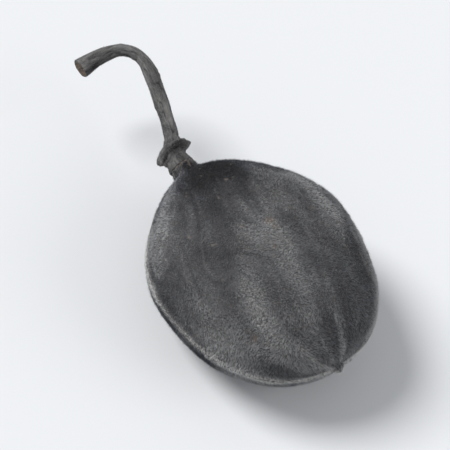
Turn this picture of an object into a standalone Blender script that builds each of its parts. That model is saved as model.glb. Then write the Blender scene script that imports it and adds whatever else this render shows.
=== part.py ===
"""A velvet tamarind: one dry fruit on its own stalk, as picked, lying on its flatter side.

Metres, +Z up. The origin is the centre of the small flat spot that the fruit rests on.
+Y runs from the pod towards the stalk, and the stalk's hooked end turns towards -X.
"""

import math
import random

import bmesh
import bpy
from mathutils import Matrix, Vector

MM = 0.001

# Pod: its half sizes from its centre. One margin is a little fuller than the other.
HALF_LENGTH_STALK_END = 8.5 * MM
HALF_LENGTH_BEAK_END = 9.0 * MM
HALF_WIDTH_FULL_MARGIN = 8.0 * MM
HALF_WIDTH_STRAIGHT_MARGIN = 7.8 * MM
HALF_THICKNESS = 5.5 * MM
FULLNESS = 2.12

# Shoulder: the pod draws out into a blunt cone towards the stalk.
SHOULDER_RISE = 0.65 * MM
SHOULDER_SPREAD = math.radians(20.0)

# Seam: a low rib all round the margin, with a faint trough on each side of it.
SEAM_HEIGHT = 0.15 * MM
SEAM_HALF_WIDTH = 0.42 * MM
SEAM_TROUGH_DEPTH = 0.25
SEAM_TROUGH_PLACE = 2.3
SEAM_FADE = math.radians(20.0)

# Dents where the dry shell has sunk: the way they lie from the centre, depth, spread.
DENTS = (
    ((0.18, -0.10, 1.0), 0.42 * MM, math.radians(34.0)),
    ((-0.62, 0.30, 0.62), 0.24 * MM, math.radians(17.0)),
    ((0.55, -0.55, 0.50), 0.20 * MM, math.radians(15.0)),
    ((0.66, 0.48, -0.46), 0.22 * MM, math.radians(18.0)),
    ((-0.50, -0.62, -0.50), 0.22 * MM, math.radians(17.0)),
    ((0.62, 0.78, 0.0), 0.45 * MM, math.radians(24.0)),
)

# Lumps: long, low waves that keep the shell from being a true oval.
LUMP_WAVES = 5
LUMP_HEIGHT = 0.055 * MM
LUMP_FINENESS = 2.6
LUMP_SEED = 1

# Mesh of the pod: rings round Y that are closer near the neck, longitudes closer at the seam.
POD_SEGMENTS = 64
POD_RINGS = 42
RING_CROWDING = 1.12
SEAM_CROWDING = 0.50

# Neck: a short stump with a pit for the stalk's peg, as (radius, height above its base ring).
PEG_RADIUS = 0.42 * MM
PEG_LENGTH = 1.15 * MM
CLEARANCE = 0.25 * MM
PIT_RADIUS = PEG_RADIUS + CLEARANCE
PIT_DEPTH = PEG_LENGTH + 0.15 * MM
NECK_ANGLE = math.radians(9.5)
NECK_HEIGHT = 1.12 * MM
NECK_RADIUS = 1.00 * MM
NECK_PROFILE = (
    (NECK_RADIUS + 0.26 * MM, 0.12 * MM),
    (NECK_RADIUS + 0.09 * MM, 0.32 * MM),
    (NECK_RADIUS, 0.60 * MM),
    (NECK_RADIUS - 0.02 * MM, NECK_HEIGHT - 0.14 * MM),
    (NECK_RADIUS - 0.10 * MM, NECK_HEIGHT),
    (PIT_RADIUS + 0.10 * MM, NECK_HEIGHT),
    (PIT_RADIUS, NECK_HEIGHT - 0.10 * MM),
    (PIT_RADIUS, NECK_HEIGHT - 0.5 * PIT_DEPTH),
    (PIT_RADIUS, NECK_HEIGHT - PIT_DEPTH),
)

# Beak: the stub that the flower's style left at the far end.
BEAK_ANGLE = math.radians(4.6)
BEAK_PROFILE = (
    (0.50 * MM, 0.12 * MM),
    (0.38 * MM, 0.34 * MM),
    (0.27 * MM, 0.50 * MM),
    (0.14 * MM, 0.56 * MM),
)

# Rest spot: the underside is flat this far above where its lowest point would be.
REST_FLAT_DEPTH = 0.12 * MM
REST_SNAP = 0.03 * MM

# Stalk: its middle line from the foot, in millimetres, as (x, y, z).
STALK_ROUTE_MM = (
    (0.00, 0.00, 0.00),
    (0.08, 0.90, 0.02),
    (0.80, 2.30, 0.18),
    (1.30, 3.80, 0.48),
    (1.70, 5.40, 0.92),
    (2.02, 7.00, 1.36),
    (2.08, 8.25, 1.64),
    (1.72, 9.25, 1.78),
    (0.90, 9.88, 1.80),
    (-0.20, 10.10, 1.70),
    (-1.35, 10.12, 1.52),
    (-2.45, 10.05, 1.30),
)
ROUTE_STEPS = 40
STALK_SIDES = 20
STALK_STEP = 0.28 * MM
STALK_RADIUS = 0.56 * MM
STALK_WAVER = ((0.04, 0.90 * MM), (0.03, 0.37 * MM))

# Waist: the stem is thinner where it bends over.
WAIST_SHARE = 0.17
WAIST_PLACE = 9.8 * MM
WAIST_REACH = 1.5 * MM

# Tip: a little swollen, and broken off square with a sunken middle.
TIP_RADIUS = 0.76 * MM
TIP_LENGTH = 1.50 * MM
TIP_EDGE = 0.10 * MM

# Foot and slanted collar of the stalk, as (radius, distance along the stalk from its foot).
COLLAR_PROFILE = (
    (PEG_RADIUS, 0.00 * MM),
    (0.80 * MM, 0.02 * MM),
    (0.90 * MM, 0.12 * MM),
    (0.88 * MM, 0.55 * MM),
    (0.98 * MM, 0.90 * MM),
    (1.22 * MM, 1.16 * MM),
    (1.30 * MM, 1.30 * MM),
    (1.27 * MM, 1.44 * MM),
    (1.06 * MM, 1.54 * MM),
    (0.82 * MM, 1.66 * MM),
    (0.70 * MM, 1.90 * MM),
    (0.63 * MM, 2.20 * MM),
)
COLLAR_CENTRE = 1.32 * MM
COLLAR_REACH = 0.85 * MM
COLLAR_SLANT = 0.42
SEPAL_SCARS = 5
SCAR_LOBE = 0.07
SCAR_REACH = 0.35 * MM

# Finishes: black velvet on the shell, dark grey-brown bark on the stalk.
POD_COLOUR = (0.030, 0.029, 0.030, 1.0)
POD_ROUGHNESS = 0.85
STALK_COLOUR = (0.036, 0.030, 0.026, 1.0)
STALK_ROUGHNESS = 0.75


def remove_all_objects():
    for old in list(bpy.data.objects):
        bpy.data.objects.remove(old, do_unlink=True)


def plain_material(name, colour, roughness):
    material = bpy.data.materials.new(name)
    material.use_nodes = True
    shader = material.node_tree.nodes["Principled BSDF"]
    shader.inputs["Base Color"].default_value = colour
    shader.inputs["Roughness"].default_value = roughness
    shader.inputs["Metallic"].default_value = 0.0
    return material


def object_from(bm, name, material, parent):
    """Turn the finished bmesh into a smooth-shaded object of one material."""
    bm.normal_update()
    bmesh.ops.recalc_face_normals(bm, faces=bm.faces)
    mesh = bpy.data.meshes.new(name)
    bm.to_mesh(mesh)
    bm.free()
    mesh.materials.append(material)
    mesh.shade_smooth()
    thing = bpy.data.objects.new(name, mesh)
    bpy.context.scene.collection.objects.link(thing)
    thing.parent = parent
    return thing


def extrude_ring(bm, ring):
    """Grow an open ring of edges by one, and return the new ring and its vertices."""
    grown = bmesh.ops.extrude_edge_only(bm, edges=ring)["geom"]
    new_ring = [part for part in grown if isinstance(part, bmesh.types.BMEdge) and part.is_boundary]
    new_verts = [part for part in grown if isinstance(part, bmesh.types.BMVert)]
    return new_ring, new_verts


def turn_end(bm, side, profile):
    """Carry the pod's open end on through a turned profile, and close it with a face.

    Side is 1 for the stalk end and -1 for the beak end.
    """
    ring = [edge for edge in bm.edges if edge.is_boundary and side * edge.verts[0].co.y > 0.0]
    ring_verts = {vert for edge in ring for vert in edge.verts}
    base = sum(vert.co.y for vert in ring_verts) / len(ring_verts)
    for radius, height in profile:
        ring, verts = extrude_ring(bm, ring)
        for vert in verts:
            turn = math.atan2(vert.co.z, vert.co.x)
            vert.co = (radius * math.cos(turn), base + side * height, radius * math.sin(turn))
    bmesh.ops.holes_fill(bm, edges=ring, sides=0)
    return base


def lump_waves():
    """Waves of random direction and phase, the same ones on every run."""
    draw = random.Random(LUMP_SEED)
    waves = []
    for _ in range(LUMP_WAVES):
        pull = Vector([draw.gauss(0.0, LUMP_FINENESS) for _ in range(3)])
        waves.append((pull, draw.uniform(0.0, 2.0 * math.pi)))
    return waves


def pod_point(way, waves):
    """The place on the pod's skin, from its centre, in the direction of a unit vector."""
    half_width = HALF_WIDTH_STRAIGHT_MARGIN if way.x > 0.0 else HALF_WIDTH_FULL_MARGIN
    half_length = HALF_LENGTH_STALK_END if way.y > 0.0 else HALF_LENGTH_BEAK_END
    parts = (way.x / half_width, way.y / half_length, way.z / HALF_THICKNESS)
    reach = sum(abs(part) ** FULLNESS for part in parts) ** (-1.0 / FULLNESS)
    from_stalk = math.acos(max(-1.0, min(1.0, way.y)))
    reach += SHOULDER_RISE * math.exp(-((from_stalk / SHOULDER_SPREAD) ** 2))
    for aim, depth, spread in DENTS:
        reach -= depth * math.exp(-((way.angle(Vector(aim)) / spread) ** 2))
    for pull, phase in waves:
        reach += LUMP_HEIGHT * math.sin(pull.dot(way) + phase)
    off_seam = abs(reach * way.z) / SEAM_HALF_WIDTH
    rib = math.exp(-(off_seam**2))
    rib -= SEAM_TROUGH_DEPTH * math.exp(-((off_seam - SEAM_TROUGH_PLACE) ** 2))
    fade = min(1.0, math.sin(from_stalk) / math.sin(SEAM_FADE))
    return way * (reach + SEAM_HEIGHT * rib * fade)


def ring_angle(share):
    """The angle from the stalk's way of a ring that lies this share of the way to the beak."""
    return NECK_ANGLE + (math.pi - NECK_ANGLE - BEAK_ANGLE) * share**RING_CROWDING


def make_pod(material, parent):
    """The shell: a ball of rings round Y, shaped by pod_point, with its neck and beak turned on.

    Returns the place of the neck's top.
    """
    bm = bmesh.new()
    bmesh.ops.create_uvsphere(bm, u_segments=POD_SEGMENTS, v_segments=POD_RINGS, radius=1.0)
    poles = [vert for vert in bm.verts if len(vert.link_edges) > 4]
    bmesh.ops.delete(bm, geom=poles, context="VERTS")
    waves = lump_waves()
    for vert in bm.verts:
        ring = math.acos(vert.co.z) / math.pi * POD_RINGS
        angle = ring_angle((ring - 1.0) / (POD_RINGS - 2.0))
        turn = math.atan2(vert.co.y, vert.co.x)
        turn -= 0.5 * SEAM_CROWDING * math.sin(2.0 * turn)
        off_axis = math.sin(angle)
        way = (off_axis * math.cos(turn), math.cos(angle), -off_axis * math.sin(turn))
        vert.co = pod_point(Vector(way), waves)
    neck_base = turn_end(bm, 1, NECK_PROFILE)
    turn_end(bm, -1, BEAK_PROFILE)

    lowest = min(vert.co.z for vert in bm.verts)
    bmesh.ops.bisect_plane(
        bm,
        geom=bm.verts[:] + bm.edges[:] + bm.faces[:],
        dist=REST_SNAP,
        plane_co=(0.0, 0.0, lowest + REST_FLAT_DEPTH),
        plane_no=(0.0, 0.0, -1.0),
        use_snap_center=True,
        clear_outer=True,
    )
    rim = [edge for edge in bm.edges if edge.is_boundary]
    rest_face = bmesh.ops.holes_fill(bm, edges=rim, sides=0)["faces"][0]
    rest_centre = rest_face.calc_center_median_weighted()

    pod = object_from(bm, "pod", material, parent)
    pod.location = -rest_centre
    return pod.location + Vector((0.0, neck_base + NECK_HEIGHT, 0.0))


def smooth_route():
    """Close points on a smooth curve through the stalk's route, and their distances along it."""
    knots = [Vector(knot) * MM for knot in STALK_ROUTE_MM]
    knots.insert(0, 2.0 * knots[0] - knots[1])
    knots.append(2.0 * knots[-1] - knots[-2])
    points = []
    for a, b, c, d in zip(knots, knots[1:], knots[2:], knots[3:]):
        for step in range(ROUTE_STEPS):
            t = step / ROUTE_STEPS
            bend = (2.0 * a - 5.0 * b + 4.0 * c - d) * t**2
            twist = (3.0 * b - a - 3.0 * c + d) * t**3
            points.append(0.5 * (2.0 * b + (c - a) * t + bend + twist))
    points.append(knots[-2])
    distances = [0.0]
    for start, end in zip(points, points[1:]):
        distances.append(distances[-1] + (end - start).length)
    return points, distances


def place_along(points, distances, distance):
    """The place and the heading of the route at a distance from its foot."""
    index = 0
    while index < len(points) - 2 and distances[index + 1] < distance:
        index += 1
    heading = (points[index + 1] - points[index]).normalized()
    return points[index] + heading * (distance - distances[index]), heading


def stalk_profile(total):
    """(radius, distance) pairs: the peg, the foot and collar, the stem and the broken tip."""
    profile = [
        (0.72 * PEG_RADIUS, -PEG_LENGTH),
        (PEG_RADIUS, -0.9 * PEG_LENGTH),
        (PEG_RADIUS, -0.5 * PEG_LENGTH),
    ]
    profile.extend(COLLAR_PROFILE)
    distance = COLLAR_PROFILE[-1][1] + STALK_STEP
    while distance < total - 2.0 * TIP_EDGE:
        swell = math.exp(-(((total - distance) / TIP_LENGTH) ** 2))
        waver = sum(share * math.sin(distance / length) for share, length in STALK_WAVER)
        waist = WAIST_SHARE * math.exp(-(((distance - WAIST_PLACE) / WAIST_REACH) ** 2))
        radius = STALK_RADIUS * (1.0 + waver - waist) + (TIP_RADIUS - STALK_RADIUS) * swell
        profile.append((radius, distance))
        distance += STALK_STEP
    profile.append((TIP_RADIUS, total - TIP_EDGE))
    profile.append((0.90 * TIP_RADIUS, total))
    profile.append((0.55 * TIP_RADIUS, total - 0.5 * TIP_EDGE))
    return profile


def make_stalk(material, parent, neck_top):
    """The stalk: turned straight up Y with its collar, then bent along its route."""
    points, distances = smooth_route()
    profile = stalk_profile(distances[-1])
    bm = bmesh.new()
    upright = Matrix.Rotation(math.radians(-90.0), 4, "X")
    foot_radius, foot_distance = profile[0]
    bmesh.ops.create_circle(
        bm, cap_ends=True, radius=foot_radius, segments=STALK_SIDES, matrix=upright
    )
    bmesh.ops.translate(bm, vec=(0.0, foot_distance, 0.0), verts=bm.verts)
    ring = list(bm.edges)
    for radius, distance in profile[1:]:
        ring, verts = extrude_ring(bm, ring)
        lobes = SCAR_LOBE * math.exp(-(((distance - COLLAR_CENTRE) / SCAR_REACH) ** 2))
        for vert in verts:
            turn = math.atan2(vert.co.z, vert.co.x)
            width = radius * (1.0 + lobes * math.cos(SEPAL_SCARS * turn))
            vert.co = (width * math.cos(turn), distance, width * math.sin(turn))
    bmesh.ops.holes_fill(bm, edges=ring, sides=0)

    for vert in bm.verts:
        slant = COLLAR_SLANT * math.exp(-(((vert.co.y - COLLAR_CENTRE) / COLLAR_REACH) ** 4))
        centre, heading = place_along(points, distances, vert.co.y + slant * vert.co.x)
        across = heading.cross(Vector((0.0, 0.0, 1.0))).normalized()
        upward = across.cross(heading)
        vert.co = centre + across * vert.co.x + upward * vert.co.z

    stalk = object_from(bm, "stalk", material, parent)
    stalk.location = neck_top + Vector((0.0, CLEARANCE, 0.0))


remove_all_objects()
fruit = bpy.data.objects.new("velvet_tamarind", None)
bpy.context.scene.collection.objects.link(fruit)
top_of_neck = make_pod(plain_material("velvet_shell", POD_COLOUR, POD_ROUGHNESS), fruit)
make_stalk(plain_material("woody_stalk", STALK_COLOUR, STALK_ROUGHNESS), fruit, top_of_neck)
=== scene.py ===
"""A velvet tamarind as it looks: black velvet nap on a thin dry shell, and a bark-brown stalk.

Metres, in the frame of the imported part: +Y from the pod to the stalk, +Z up, z = 0 the floor.
"""

import bisect
import math
import random

import bmesh
import bpy
import numpy as np
from mathutils import Matrix, Vector


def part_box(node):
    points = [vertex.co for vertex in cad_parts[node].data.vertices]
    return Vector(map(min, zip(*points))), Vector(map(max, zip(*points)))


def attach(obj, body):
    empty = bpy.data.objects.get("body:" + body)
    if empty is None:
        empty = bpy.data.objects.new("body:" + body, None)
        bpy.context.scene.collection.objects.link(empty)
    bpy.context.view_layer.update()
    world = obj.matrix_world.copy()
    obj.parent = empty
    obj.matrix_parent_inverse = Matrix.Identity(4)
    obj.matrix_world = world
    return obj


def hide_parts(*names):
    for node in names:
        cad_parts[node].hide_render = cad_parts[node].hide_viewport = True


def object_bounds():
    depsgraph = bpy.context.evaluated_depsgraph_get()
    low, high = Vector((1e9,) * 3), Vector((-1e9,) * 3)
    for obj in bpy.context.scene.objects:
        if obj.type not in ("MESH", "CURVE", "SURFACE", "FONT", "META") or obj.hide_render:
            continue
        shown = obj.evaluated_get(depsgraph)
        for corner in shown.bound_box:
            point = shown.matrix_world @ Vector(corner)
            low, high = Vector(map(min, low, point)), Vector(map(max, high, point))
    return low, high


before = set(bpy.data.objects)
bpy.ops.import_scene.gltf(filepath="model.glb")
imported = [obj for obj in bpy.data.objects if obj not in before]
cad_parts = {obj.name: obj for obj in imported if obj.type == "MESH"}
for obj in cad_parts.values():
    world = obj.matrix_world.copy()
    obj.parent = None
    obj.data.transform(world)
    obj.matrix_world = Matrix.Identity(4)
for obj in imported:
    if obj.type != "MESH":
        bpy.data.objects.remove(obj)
cad_low, cad_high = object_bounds()
scene = bpy.context.scene


# Camera. It looks down on the lying fruit through a long lens, turned and rolled so that the
# stalk points to the upper left and the nearest margin, with its seam, is at the lower left.
MM = 0.001
CAMERA_TURN = math.radians(55.0)
CAMERA_ELEVATION = math.radians(56.0)
CAMERA_ROLL = math.radians(22.0)
CAMERA_LENS = 120.0
CAMERA_SENSOR = 36.0
VIEW_WIDTH = 33.0 * MM
AIM_RIGHT = 0.8 * MM
AIM_UP = -1.1 * MM
CAMERA_CLIP = (5.0 * MM, 5000.0 * MM)

camera_forward = Vector((math.sin(CAMERA_TURN), math.cos(CAMERA_TURN), 0.0))
camera_back = Vector((0.0, 0.0, math.sin(CAMERA_ELEVATION)))
camera_back -= camera_forward * math.cos(CAMERA_ELEVATION)
level_right = camera_forward.cross(Vector((0.0, 0.0, 1.0)))
camera_right = Matrix.Rotation(CAMERA_ROLL, 3, camera_back) @ level_right
camera_up = camera_back.cross(camera_right)
fruit_middle = (cad_low + cad_high) / 2.0
camera_aim = fruit_middle + camera_right * AIM_RIGHT + camera_up * AIM_UP


def placed(name, data):
    """A new object in the scene, at the origin until it is moved."""
    thing = bpy.data.objects.new(name, data)
    scene.collection.objects.link(thing)
    return thing


camera_data = bpy.data.cameras.new("camera")
camera_data.lens = CAMERA_LENS
camera_data.sensor_width = CAMERA_SENSOR
camera_data.clip_start, camera_data.clip_end = CAMERA_CLIP
camera = placed("camera", camera_data)
camera.location = camera_aim + camera_back * (VIEW_WIDTH * CAMERA_LENS / CAMERA_SENSOR)
camera.rotation_euler = Matrix((camera_right, camera_up, camera_back)).transposed().to_euler()
scene.camera = camera


# Studio. A plain pale matt floor runs out to a pale surround. A wide soft light comes from the
# left of the picture and a weaker, wider one from the right, both even over the whole floor.
FLOOR_RADIUS = 3000.0 * MM
FLOOR_SIDES = 96
FLOOR_COLOUR = (0.745, 0.755, 0.77, 1.0)
FLOOR_ROUGHNESS = 1.0
FLOOR_GLOSS = 0.0
SURROUND_COLOUR = (0.95, 0.97, 1.0, 1.0)
SURROUND_LIGHT = 0.42
SURROUND_SEEN = 0.92


def wide_light(name, right, onward, height, spread, strength):
    """A soft distant light from a way given along the floor of the picture and up from it."""
    way = camera_right * right + camera_up * onward
    way.z = height
    light_data = bpy.data.lights.new(name, "SUN")
    light_data.angle = spread
    light_data.energy = strength
    placed(name, light_data).rotation_euler = (-way).to_track_quat("-Z", "Y").to_euler()


def ranged(tree, source, low, high):
    """A source that goes from 0 to 1, made to go from low to high."""
    node = tree.nodes.new("ShaderNodeMapRange")
    node.inputs["To Min"].default_value = low
    node.inputs["To Max"].default_value = high
    tree.links.new(source, node.inputs["Value"])
    return node.outputs["Result"]


def new_finish(name, roughness, gloss):
    """A material, its node tree, and its shader with an even roughness and gloss."""
    finish = bpy.data.materials.new(name)
    finish.use_nodes = True
    shader = finish.node_tree.nodes["Principled BSDF"]
    shader.inputs["Roughness"].default_value = roughness
    shader.inputs["Specular IOR Level"].default_value = gloss
    return finish, finish.node_tree, shader


def finished_mesh(name, bm):
    """The mesh that a bmesh has become. The bmesh is let go."""
    mesh = bpy.data.meshes.new(name)
    bm.to_mesh(mesh)
    bm.free()
    return mesh


wide_light(
    "key_light",
    right=-0.85,
    onward=0.30,
    height=0.95,
    spread=math.radians(24.0),
    strength=2.9,
)
wide_light(
    "fill_light",
    right=1.0,
    onward=-0.25,
    height=0.75,
    spread=math.radians(40.0),
    strength=0.6,
)

surround = bpy.data.worlds.new("surround")
surround.use_nodes = True
tree = surround.node_tree
background = tree.nodes["Background"]
background.inputs["Color"].default_value = SURROUND_COLOUR
seen = tree.nodes.new("ShaderNodeLightPath").outputs["Is Camera Ray"]
tree.links.new(ranged(tree, seen, SURROUND_LIGHT, SURROUND_SEEN), background.inputs["Strength"])
scene.world = surround
scene.view_settings.view_transform = "Standard"

bm = bmesh.new()
bmesh.ops.create_circle(bm, cap_ends=True, radius=FLOOR_RADIUS, segments=FLOOR_SIDES)
floor_mesh = finished_mesh("floor", bm)
floor_finish, tree, shader = new_finish("pale_floor", FLOOR_ROUGHNESS, FLOOR_GLOSS)
shader.inputs["Base Color"].default_value = FLOOR_COLOUR
floor_mesh.materials.append(floor_finish)
floor = placed("floor", floor_mesh)


# Shell of the pod. The real one is a thin brittle husk, flattened and round, with a low rib
# where its halves meet, a short neck for the stalk and the tiny beak that the style left.
HALF_LENGTH_STALK_END = 8.5 * MM
HALF_LENGTH_BEAK_END = 9.0 * MM
HALF_WIDTH_FULL_MARGIN = 8.0 * MM
HALF_WIDTH_STRAIGHT_MARGIN = 7.8 * MM
HALF_THICKNESS = 5.5 * MM
FULLNESS = 2.12
SHOULDER_RISE = 0.65 * MM
SHOULDER_SPREAD = math.radians(20.0)
SEAM_HEIGHT = 0.15 * MM
SEAM_HALF_WIDTH = 0.42 * MM
SEAM_TROUGH_DEPTH = 0.25
SEAM_TROUGH_PLACE = 2.3
SEAM_FADE = math.radians(20.0)
DENTS = (
    ((0.18, -0.10, 1.0), 0.42 * MM, math.radians(34.0)),
    ((-0.62, 0.30, 0.62), 0.24 * MM, math.radians(17.0)),
    ((0.55, -0.55, 0.50), 0.20 * MM, math.radians(15.0)),
    ((0.66, 0.48, -0.46), 0.22 * MM, math.radians(18.0)),
    ((-0.50, -0.62, -0.50), 0.22 * MM, math.radians(17.0)),
    ((0.62, 0.78, 0.0), 0.45 * MM, math.radians(24.0)),
)
LUMP_WAVES = 5
LUMP_HEIGHT = 0.055 * MM
LUMP_FINENESS = 2.6
LUMP_SEED = 1
SKIN_SEGMENTS = 320
SKIN_RINGS = 176
RING_CROWDING = 1.12
SEAM_CROWDING = 0.50
NECK_ANGLE = math.radians(9.5)
NECK_HEIGHT = 1.12 * MM
NECK_RADIUS = 1.00 * MM
NECK_FLARE = 0.20 * MM
NECK_STEPS = 14
NECK_CLOSING = 0.16 * MM
NECK_TOP_SUNK = 0.05 * MM
BEAK_ANGLE = math.radians(4.6)
BEAK_HEIGHT = 0.56 * MM
BEAK_RADIUS = 0.42 * MM
BEAK_BASE_SWELL = 1.25
BEAK_TAPER = 0.45
BEAK_STEPS = 10
REST_FLAT_DEPTH = 0.12 * MM

# Fine relief of the shell: pleats round the neck, leathery wrinkles, a groove along the seam
# and small pits with raised rims. A noise layer is its weight, the size of its swells, its seed.
NOISE_WAVES = 14
NOISE_PACE = (0.6, 1.5)
PLEAT_COUNT = 13
PLEAT_DEPTH = 0.055 * MM
PLEAT_REACH = 2.6 * MM
PLEAT_WANDER = ((0.8, 1.6 * MM, 41),)
WRINKLE_DEPTH = 0.030 * MM
WRINKLE_SIZE = 0.85 * MM
WRINKLE_SEED = 42
WRINKLE_EDGE = 0.55
WRINKLE_LEVEL = 0.4
FINE_WRINKLES = ((0.5 * WRINKLE_DEPTH, 0.4 * WRINKLE_SIZE, 43),)
SEAM_GROOVE_DEPTH = 0.03 * MM
SEAM_GROOVE_HALF_WIDTH = 0.11 * MM
SEAM_GROOVE_STOP = 1.6 * MM
PIT_COUNT = 46
PIT_SIZES = (0.22 * MM, 0.60 * MM)
PIT_DEPTHS = (0.03 * MM, 0.10 * MM)
PIT_RIM_SHARE = 0.35
PIT_RIM_PLACE = 1.5
PIT_RIM_WIDTH = 0.4
PIT_SEED = 21
RELIEF_STARTS = (0.02 * MM, 0.35 * MM)

# Worn places, where the nap is rubbed off: spots, scratches, the crest of the seam and the rim
# of the neck. Each wear is how much of the nap goes, and each edge is where it starts and ends.
WORN_RAGGEDNESS = ((0.45, 0.30 * MM, 31), (0.25, 0.12 * MM, 32))
WORN_EDGE = (0.5, 1.5)
WORN_SPOTS = 11
WORN_SIZES = (0.10 * MM, 0.34 * MM)
WORN_SEED = 5
SPOT_WEAR = 0.9
SCRATCHES = 12
SCRATCH_LENGTHS = (0.9 * MM, 2.6 * MM)
SCRATCH_HALF_WIDTH = 0.045 * MM
SCRATCH_EDGE = (0.6, 1.6)
SCRATCH_SEED = 9
SCRATCH_WEAR = 0.85
SEAM_WORN_HALF_WIDTH = 0.16 * MM
SEAM_WORN_PATCHES = (2.4 * MM, 33)
SEAM_WORN_RANGE = (-0.9, 0.5)
SEAM_WEAR = 0.38
NECK_WORN_REACH = 0.20 * MM
NECK_WEAR = 0.7


def lump_waves():
    """(direction and fineness, phase) pairs of the shell's slight unevenness."""
    draw = random.Random(LUMP_SEED)
    waves = []
    for _ in range(LUMP_WAVES):
        pull = Vector([draw.gauss(0.0, LUMP_FINENESS) for _ in range(3)])
        waves.append((pull, draw.uniform(0.0, 2.0 * math.pi)))
    return waves


def pod_point(way, waves):
    """The place on the pod's skin, from its centre, in the direction of a unit vector."""
    half_width = HALF_WIDTH_STRAIGHT_MARGIN if way.x > 0.0 else HALF_WIDTH_FULL_MARGIN
    half_length = HALF_LENGTH_STALK_END if way.y > 0.0 else HALF_LENGTH_BEAK_END
    parts = (way.x / half_width, way.y / half_length, way.z / HALF_THICKNESS)
    reach = sum(abs(part) ** FULLNESS for part in parts) ** (-1.0 / FULLNESS)
    from_stalk = math.acos(max(-1.0, min(1.0, way.y)))
    reach += SHOULDER_RISE * math.exp(-((from_stalk / SHOULDER_SPREAD) ** 2))
    for aim, depth, spread in DENTS:
        reach -= depth * math.exp(-((way.angle(Vector(aim)) / spread) ** 2))
    for pull, phase in waves:
        reach += LUMP_HEIGHT * math.sin(pull.dot(way) + phase)
    off_seam = abs(reach * way.z) / SEAM_HALF_WIDTH
    rib = math.exp(-(off_seam**2))
    rib -= SEAM_TROUGH_DEPTH * math.exp(-((off_seam - SEAM_TROUGH_PLACE) ** 2))
    fade = min(1.0, math.sin(from_stalk) / math.sin(SEAM_FADE))
    return way * (reach + SEAM_HEIGHT * rib * fade)


def extrude_ring(bm, ring):
    """Grow an open ring of edges by one, and return the new ring and its vertices."""
    grown = bmesh.ops.extrude_edge_only(bm, edges=ring)["geom"]
    new_ring = [part for part in grown if isinstance(part, bmesh.types.BMEdge) and part.is_boundary]
    new_verts = [part for part in grown if isinstance(part, bmesh.types.BMVert)]
    return new_ring, new_verts


def turn_end(bm, side, profile):
    """Carry the open end on through a turned profile and close it. Side 1 is the stalk's end."""
    ring = [edge for edge in bm.edges if edge.is_boundary and side * edge.verts[0].co.y > 0.0]
    ring_verts = {vert for edge in ring for vert in edge.verts}
    base = sum(vert.co.y for vert in ring_verts) / len(ring_verts)
    for radius, height in profile:
        ring, verts = extrude_ring(bm, ring)
        for vert in verts:
            turn = math.atan2(vert.co.z, vert.co.x)
            vert.co = (radius * math.cos(turn), base + side * height, radius * math.sin(turn))
    bmesh.ops.holes_fill(bm, edges=ring, sides=0)
    return base


def neck_profile():
    """(radius, height) pairs: a flared stump that turns in under the foot of the stalk."""
    first_radius = (HALF_LENGTH_STALK_END + SHOULDER_RISE) * math.sin(NECK_ANGLE)
    pairs = []
    for step in range(1, NECK_STEPS + 1):
        height = NECK_HEIGHT * step / NECK_STEPS
        flare = (first_radius - NECK_RADIUS) * math.exp(-height / NECK_FLARE)
        from_top = max(0.0, NECK_CLOSING - (NECK_HEIGHT - height))
        closing = NECK_CLOSING - math.sqrt(max(0.0, NECK_CLOSING**2 - from_top**2))
        pairs.append((NECK_RADIUS + flare - closing, height))
    pairs.append((0.6 * NECK_RADIUS, NECK_HEIGHT))
    pairs.append((0.3 * NECK_RADIUS, NECK_HEIGHT - NECK_TOP_SUNK))
    return pairs


def beak_profile():
    """(radius, height) pairs of the beak, a stub with a round end."""
    pairs = []
    for step in range(1, BEAK_STEPS + 1):
        share = step / (BEAK_STEPS + 1.0)
        taper = BEAK_BASE_SWELL - BEAK_TAPER * share
        radius = BEAK_RADIUS * math.sqrt(1.0 - share**2) * taper
        pairs.append((radius, BEAK_HEIGHT * share))
    return pairs


def soft_noise(points, size, seed):
    """Smooth noise, mostly between -1 and 1, whose swells are about size across."""
    draw = random.Random(seed)
    total = np.zeros(len(points))
    for _ in range(NOISE_WAVES):
        pull = Vector([draw.gauss(0.0, 1.0) for _ in range(3)]).normalized()
        pull *= draw.uniform(*NOISE_PACE) * math.pi / size
        total += np.sin(points @ np.array(pull) + draw.uniform(0.0, 2.0 * math.pi))
    return total / math.sqrt(NOISE_WAVES)


def noise_layers(points, layers, level=0.0):
    """Layers of smooth noise, each with its own weight, on top of a level."""
    total = level
    for weight, size, seed in layers:
        total = total + weight * soft_noise(points, size, seed)
    return total


def smooth_step(values, low, high):
    """0 up to low and 1 from high on, with a smooth rise between them."""
    share = np.clip((values - low) / (high - low), 0.0, 1.0)
    return share * share * (3.0 - 2.0 * share)


def spread_places(count, sizes, seed, waves):
    """(place, size) pairs of small marks strewn over the pod."""
    draw = random.Random(seed)
    places = []
    for _ in range(count):
        way = Vector([draw.gauss(0.0, 1.0) for _ in range(3)]).normalized()
        size = sizes[0] + (sizes[1] - sizes[0]) * draw.random() ** 2
        places.append((np.array(pod_point(way, waves) + pod_centre), size))
    return places


def scratch_lines(waves):
    """(start, end) pairs of short scratches that lie along the skin."""
    draw = random.Random(SCRATCH_SEED)
    lines = []
    for _ in range(SCRATCHES):
        way = Vector([draw.gauss(0.0, 1.0) for _ in range(3)]).normalized()
        aside = way.cross(Vector([draw.gauss(0.0, 1.0) for _ in range(3)])).normalized()
        length = draw.uniform(*SCRATCH_LENGTHS)
        reach = pod_point(way, waves).length
        start = pod_point((way - aside * 0.5 * length / reach).normalized(), waves)
        end = pod_point((way + aside * 0.5 * length / reach).normalized(), waves)
        lines.append((np.array(start + pod_centre), np.array(end + pod_centre)))
    return lines


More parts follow.
